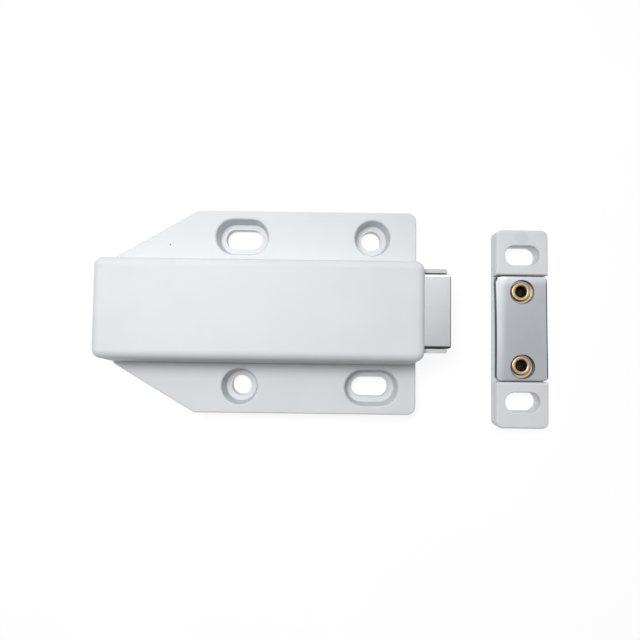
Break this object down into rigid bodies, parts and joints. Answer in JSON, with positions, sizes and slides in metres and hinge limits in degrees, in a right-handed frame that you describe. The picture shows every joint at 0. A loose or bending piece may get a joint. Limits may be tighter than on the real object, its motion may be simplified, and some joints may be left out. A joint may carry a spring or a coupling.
{
  "type": "magnetic push latch with strike",
  "caption": "White moulded magnetic push latch for a cupboard door: screw flange, sprung magnet plunger with heart-cam lock, and a strike with a loose steel plate.",
  "frame": {"origin": "centre of the screw hole pattern on the mounting face of the flange", "axes": "+X along the plunger towards its tip, +Z off the mounting face, +Y across the housing"},
  "size_m": [0.0948, 0.0462, 0.0135],
  "materials": {
    "white_moulding": "satin",
    "white_slide": "satin",
    "white_strike": "satin",
    "bright_steel": "bright plated",
    "strike_steel": "bright plated",
    "plain_steel": "drawn",
    "ferrite": "ground",
    "brass": "bright"
  },
  "bodies": {
    "latch": {"housing": "white_moulding", "base_cover": "white_moulding", "plunger_spring": "plain_steel"},
    "plunger": {"plunger_carrier": "white_slide", "magnet": "ferrite", "pole_plate_upper": "bright_steel", "pole_plate_lower": "bright_steel", "pole_rivets": "plain_steel"},
    "follower": {"cam_follower": "plain_steel"},
    "strike": {"strike_block": "white_strike", "strike_eyelets": "brass"},
    "loose_plate": {"strike_plate": "strike_steel"}
  },
  "joints": [
    {"name": "plunger_slide", "type": "slide", "parent": "latch", "child": "plunger", "axis": [1, 0, 0], "range_m": [-0.0044, 0], "stiffness_N_per_m": 250, "springref_m": 0.01, "deforming": ["plunger_spring"]},
    {"name": "follower_swing", "type": "hinge", "parent": "latch", "child": "follower", "pos_m": [-0.025, 0, 0.001], "axis": [0, 0, 1], "range_deg": [0, 8]},
    {"name": "strike_swing", "type": "hinge", "parent": "latch", "child": "strike", "pos_m": [0.03615, -0.00292, -0.00395], "axis": [0, 1, 0], "range_deg": [-90, 0]},
    {"name": "strike_plate_float", "type": "slide", "parent": "strike", "child": "loose_plate", "axis": [0, 0, 1], "range_m": [0, 0.00025]}
  ],
  "couplings": [
    {"joint": "follower_swing", "follows": "plunger_slide", "rad_per_m": -31.7}
  ]
}
